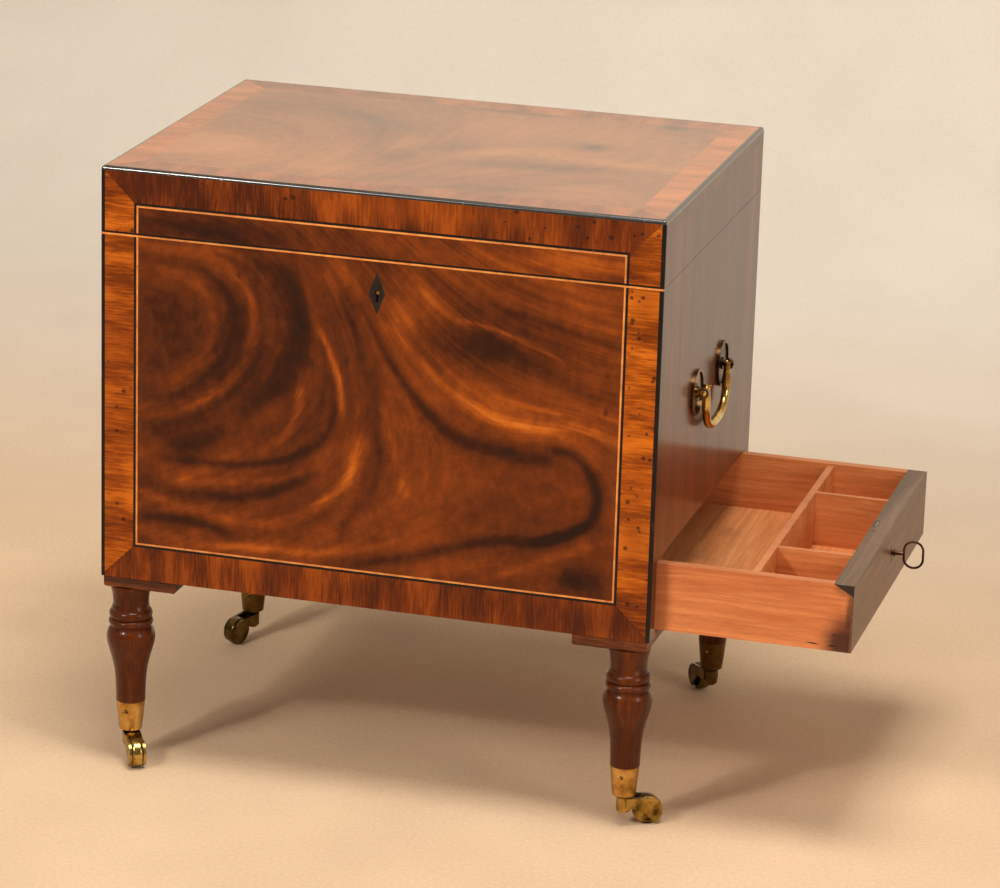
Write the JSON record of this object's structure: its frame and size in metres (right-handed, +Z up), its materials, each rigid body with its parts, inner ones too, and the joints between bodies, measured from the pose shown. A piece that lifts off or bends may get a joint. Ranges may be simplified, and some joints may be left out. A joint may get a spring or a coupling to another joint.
{
  "type": "cellarette",
  "caption": "Veneered wine chest on turned legs with castors: hinged lid over a divided bottle well, side drawer with lock and key, drop handles on both ends.",
  "frame": {"origin": "on the floor under the castors, at the middle of the whole object's outline seen from above with the drawer open as at rest", "axes": "+X to the chest's right, the way the drawer slides out; +Y to the back, where the lid's hinges are; +Z up"},
  "size_m": [0.6847, 0.3817, 0.5275],
  "materials": {
    "antique_brass": "tarnished, rubbed bright on the edges",
    "boxwood": "pale inlaid line, polished",
    "crossband_veneer": "cross-grained veneer, polished, worn",
    "dark_iron": "dark, slightly rusty, rubbed",
    "drawer_front_wood": "faded, dull polish",
    "drawer_wood": "bare, lightly waxed",
    "dull_steel": "dull, aged",
    "ebony": "ebonised, glossy, rubbed at the edges",
    "figured_mahogany_veneer": "figured veneer, polished, worn",
    "inner_wood": "bare, lightly waxed",
    "plain_mahogany": "straight-grained, waxed",
    "turned_mahogany": "turned, dark polish"
  },
  "bodies": {
    "carcass": {"carcass_back": "plain_mahogany", "carcass_front": "plain_mahogany", "carcass_left": "plain_mahogany", "carcass_right": "plain_mahogany", "carcass_screws": "dull_steel", "castor_cups": "antique_brass", "chest_escutcheon": "ebony", "chest_lock_case": "antique_brass", "corner_edging": "ebony", "cross_dividers": "inner_wood", "drawer_floor": "inner_wood", "foot_pads": "turned_mahogany", "front_boxwood_line": "boxwood", "front_crossbanding": "crossband_veneer", "front_ebony_line": "ebony", "front_veneer": "figured_mahogany_veneer", "handle_posts": "antique_brass", "handle_roses": "antique_brass", "hinge_leaves_carcass": "antique_brass", "hinge_pins": "antique_brass", "leg_back_left": "turned_mahogany", "leg_back_right": "turned_mahogany", "leg_front_left": "turned_mahogany", "leg_front_right": "turned_mahogany", "long_dividers": "inner_wood", "well_floor": "inner_wood"},
    "castor_fork_back_left": {"castor_fork_back_left": "antique_brass"},
    "castor_fork_back_right": {"castor_fork_back_right": "antique_brass"},
    "castor_fork_front_left": {"castor_fork_front_left": "antique_brass"},
    "castor_fork_front_right": {"castor_fork_front_right": "antique_brass"},
    "castor_wheel_back_left": {"castor_wheel_back_left": "antique_brass"},
    "castor_wheel_back_right": {"castor_wheel_back_right": "antique_brass"},
    "castor_wheel_front_left": {"castor_wheel_front_left": "antique_brass"},
    "castor_wheel_front_right": {"castor_wheel_front_right": "antique_brass"},
    "chest_lock_bolt": {"chest_lock_bolt": "antique_brass"},
    "drawer": {"drawer_back": "drawer_wood", "drawer_bottom": "drawer_wood", "drawer_dividers": "drawer_wood", "drawer_front": "drawer_front_wood", "drawer_lipping": "drawer_front_wood", "drawer_lock_case": "dark_iron", "drawer_lock_screws": "dull_steel", "drawer_side_back": "drawer_wood", "drawer_side_front": "drawer_wood"},
    "drawer_key": {"drawer_key": "dark_iron"},
    "drawer_lock_bolt": {"drawer_lock_bolt": "dark_iron"},
    "handle_bail_left": {"handle_bail_left": "antique_brass"},
    "handle_bail_right": {"handle_bail_right": "antique_brass"},
    "lid": {"hinge_leaves_lid": "antique_brass", "lid_boxwood_line": "boxwood", "lid_ebony_line": "ebony", "lid_edge_bead": "ebony", "lid_frame": "plain_mahogany", "lid_front_crossbanding": "crossband_veneer", "lid_front_veneer": "figured_mahogany_veneer", "lid_hook_plate": "antique_brass", "lid_screws": "dull_steel", "lid_top_board": "plain_mahogany", "lid_top_crossbanding": "crossband_veneer", "lid_top_veneer": "figured_mahogany_veneer"}
  },
  "joints": [
    {"name": "lid_hinge", "type": "hinge", "parent": "carcass", "child": "lid", "pos_m": [-0.09095, 0.1815, 0.47115], "axis": [-1, 0, 0], "range_deg": [0, 95]},
    {"name": "drawer_slide", "type": "slide", "parent": "carcass", "child": "drawer", "axis": [1, 0, 0], "range_m": [-0.1647, 0.135]},
    {"name": "chest_bolt_slide", "type": "slide", "parent": "carcass", "child": "chest_lock_bolt", "axis": [1, 0, 0], "range_m": [0, 0.006]},
    {"name": "key_turn", "type": "hinge", "parent": "drawer", "child": "drawer_key", "pos_m": [0.31375, 0.0037, 0.2107], "axis": [1, 0, 0], "range_deg": [0, 180]},
    {"name": "drawer_bolt_slide", "type": "slide", "parent": "drawer", "child": "drawer_lock_bolt", "axis": [0, 0, 1], "range_m": [0, 0.006]},
    {"name": "right_handle_swing", "type": "hinge", "parent": "carcass", "child": "handle_bail_right", "pos_m": [0.15605, 0, 0.3485], "axis": [0, -1, 0], "range_deg": [0, 100]},
    {"name": "left_handle_swing", "type": "hinge", "parent": "carcass", "child": "handle_bail_left", "pos_m": [-0.33795, 0, 0.3485], "axis": [0, 1, 0], "range_deg": [0, 100]},
    {"name": "swivel_front_left", "type": "hinge", "parent": "carcass", "child": "castor_fork_front_left", "pos_m": [-0.31045, -0.16, 0.0265], "axis": [0, 0, 1], "continuous": true},
    {"name": "wheel_front_left", "type": "hinge", "parent": "castor_fork_front_left", "child": "castor_wheel_front_left", "pos_m": [-0.29916, -0.17806, 0.0125], "axis": [0.848, 0.5299, 0], "continuous": true},
    {"name": "swivel_front_right", "type": "hinge", "parent": "carcass", "child": "castor_fork_front_right", "pos_m": [0.12855, -0.16, 0.0265], "axis": [0, 0, 1], "continuous": true},
    {"name": "wheel_front_right", "type": "hinge", "parent": "castor_fork_front_right", "child": "castor_wheel_front_right", "pos_m": [0.14621, -0.14809, 0.0125], "axis": [-0.5592, 0.829, 0], "continuous": true},
    {"name": "swivel_back_left", "type": "hinge", "parent": "carcass", "child": "castor_fork_back_left", "pos_m": [-0.31045, 0.16, 0.0265], "axis": [0, 0, 1], "continuous": true},
    {"name": "wheel_back_left", "type": "hinge", "parent": "castor_fork_back_left", "child": "castor_wheel_back_left", "pos_m": [-0.31843, 0.14025, 0.0125], "axis": [0.9272, -0.3746, 0], "continuous": true},
    {"name": "swivel_back_right", "type": "hinge", "parent": "carcass", "child": "castor_fork_back_right", "pos_m": [0.12855, 0.16, 0.0265], "axis": [0, 0, 1], "continuous": true},
    {"name": "wheel_back_right", "type": "hinge", "parent": "castor_fork_back_right", "child": "castor_wheel_back_right", "pos_m": [0.11544, 0.17678, 0.0125], "axis": [-0.788, -0.6157, 0], "continuous": true}
  ],
  "couplings": [
    {"joint": "drawer_bolt_slide", "follows": "key_turn", "m_per_rad": 0.0019099}
  ]
}
